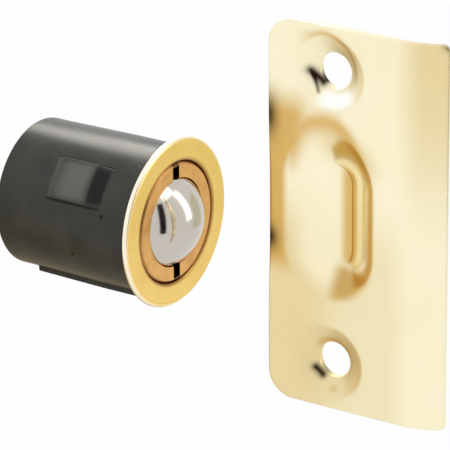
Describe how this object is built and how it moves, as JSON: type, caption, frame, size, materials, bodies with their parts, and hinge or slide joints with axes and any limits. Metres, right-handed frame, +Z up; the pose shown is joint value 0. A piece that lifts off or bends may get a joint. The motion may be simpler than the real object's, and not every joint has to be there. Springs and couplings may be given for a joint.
{
  "type": "ball catch with strike plate",
  "caption": "Drive-in ball catch for a door's edge: a flanged barrel with a sprung steel ball and a slotted adjusting ring, with its full-lip strike plate.",
  "frame": {"origin": "centre of the flange's back face, which seats on the edge of the door", "axes": "+X along the barrel towards the ball, +Z up; the strike plate's front face looks towards -Y"},
  "size_m": [0.0738, 0.0254, 0.0572],
  "materials": {
    "housing": "charcoal moulded nylon, satin",
    "flange_sleeve": "bright brass",
    "adjusting_ring": "darker, redder brass, polished",
    "ball": "polished hardened steel",
    "follower": "natural acetal",
    "spring": "drawn spring wire",
    "strike_plate": "bright brass plate on pressed steel"
  },
  "bodies": {
    "barrel": {"housing": "housing", "flange_sleeve": "flange_sleeve", "strike_plate": "strike_plate"},
    "carrier": {"spring": "spring"},
    "ring": {"adjusting_ring": "adjusting_ring"},
    "plunger": {"ball": "ball", "follower": "follower"}
  },
  "joints": [
    {"name": "ring_advance", "type": "slide", "parent": "barrel", "child": "carrier", "axis": [1, 0, 0], "range_m": [-0.001, 0.0015], "deforming": ["spring"]},
    {"name": "ring_turn", "type": "hinge", "parent": "carrier", "child": "ring", "pos_m": [0, 0, 0], "axis": [1, 0, 0], "range_deg": [-360, 540]},
    {"name": "ball_press", "type": "slide", "parent": "carrier", "child": "plunger", "axis": [1, 0, 0], "range_m": [-0.0032, 0], "stiffness_N_per_m": 3000, "springref_m": 0.0035, "deforming": ["spring"]}
  ],
  "couplings": [
    {"joint": "ring_advance", "follows": "ring_turn", "m_per_rad": 0.00015915}
  ]
}
